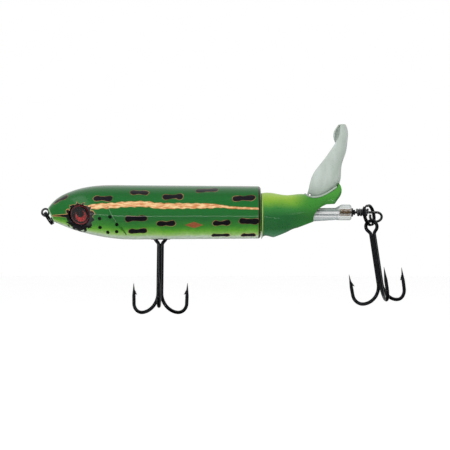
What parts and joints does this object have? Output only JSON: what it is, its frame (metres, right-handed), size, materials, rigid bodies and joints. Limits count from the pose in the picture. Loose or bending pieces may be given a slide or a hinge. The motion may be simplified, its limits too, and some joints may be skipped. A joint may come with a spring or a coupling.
{
  "type": "topwater fishing lure",
  "caption": "Floating topwater fishing lure with a round-bodied hull, clear domed eyes, a cupped paddle tail that spins on a wire shaft, and treble hooks hung at belly and tail.",
  "frame": {"origin": "centre of the line-tie wire eye at the nose, on the spin axis of the tail", "axes": "+X runs back along the tail's spin axis, +Z is the lure's back (up), -Y is its left side"},
  "size_m": [0.1562, 0.0332, 0.0809],
  "materials": {
    "body_paint": "airbrushed green with black spots and a tan stripe under gloss clear coat",
    "tail_paint": "airbrushed yellow-green over dark green, gloss",
    "blade_plastic": "translucent grey-green, satin gloss",
    "clear_plastic": "clear, polished",
    "eye_print": "printed dark red iris with black pupil",
    "wire_steel": "drawn stainless wire",
    "black_nickel": "black nickel plating",
    "brass": "turned brass",
    "black_plastic": "black, satin",
    "bright_trim": "nickel plated",
    "weight_steel": "bare steel"
  },
  "bodies": {
    "hull": {"body_shell_left": "body_paint", "body_shell_right": "body_paint", "eye_disc_left": "eye_print", "eye_disc_right": "eye_print", "eye_lens_left": "clear_plastic", "eye_lens_right": "clear_plastic", "line_tie_wire": "wire_steel", "ballast_front": "weight_steel", "ballast_rear": "weight_steel", "hook_pin": "wire_steel", "pocket_bezel": "bright_trim", "tail_shaft": "wire_steel", "shaft_wraps": "wire_steel", "hull_bush": "brass", "thrust_washer": "black_plastic", "stop_washer": "black_plastic", "stop_bead": "black_plastic"},
    "tail": {"tail_cone": "tail_paint", "tail_blade": "blade_plastic", "tail_sleeve": "clear_plastic", "tail_bush_front": "brass", "tail_bush_rear": "brass"},
    "line_ring": {"line_ring": "black_nickel"},
    "tail_ring": {"tail_ring": "black_nickel"},
    "rear_treble": {"rear_hook_double": "black_nickel", "rear_hook_single": "black_nickel"},
    "belly_treble": {"belly_hook_double": "black_nickel", "belly_hook_single": "black_nickel"},
    "rattle": {"rattle_ball": "weight_steel"}
  },
  "joints": [
    {"name": "tail_spin", "type": "hinge", "parent": "hull", "child": "tail", "pos_m": [0.0925, 0, 0], "axis": [1, 0, 0], "continuous": true},
    {"name": "line_ring_swing", "type": "hinge", "parent": "hull", "child": "line_ring", "pos_m": [0, 0, 0], "axis": [0, 1, 0], "range_deg": [0, 160]},
    {"name": "tail_ring_turn", "type": "hinge", "parent": "hull", "child": "tail_ring", "pos_m": [0.13822, -0.00231, -0.00125], "axis": [0.8486, -0.4949, 0.1869], "range_deg": [-35, 35]},
    {"name": "rear_treble_swing", "type": "hinge", "parent": "tail_ring", "child": "rear_treble", "pos_m": [0.13901, -0.00255, -0.00547], "axis": [0.0804, -0.9899, 0.1164], "range_deg": [-30, 25]},
    {"name": "belly_treble_swing", "type": "hinge", "parent": "hull", "child": "belly_treble", "pos_m": [0.0492, 0, -0.01], "axis": [0, 1, 0], "range_deg": [-35, 35]},
    {"name": "rattle_slide", "type": "slide", "parent": "hull", "child": "rattle", "axis": [1, 0, 0], "range_m": [0, 0.006]}
  ]
}
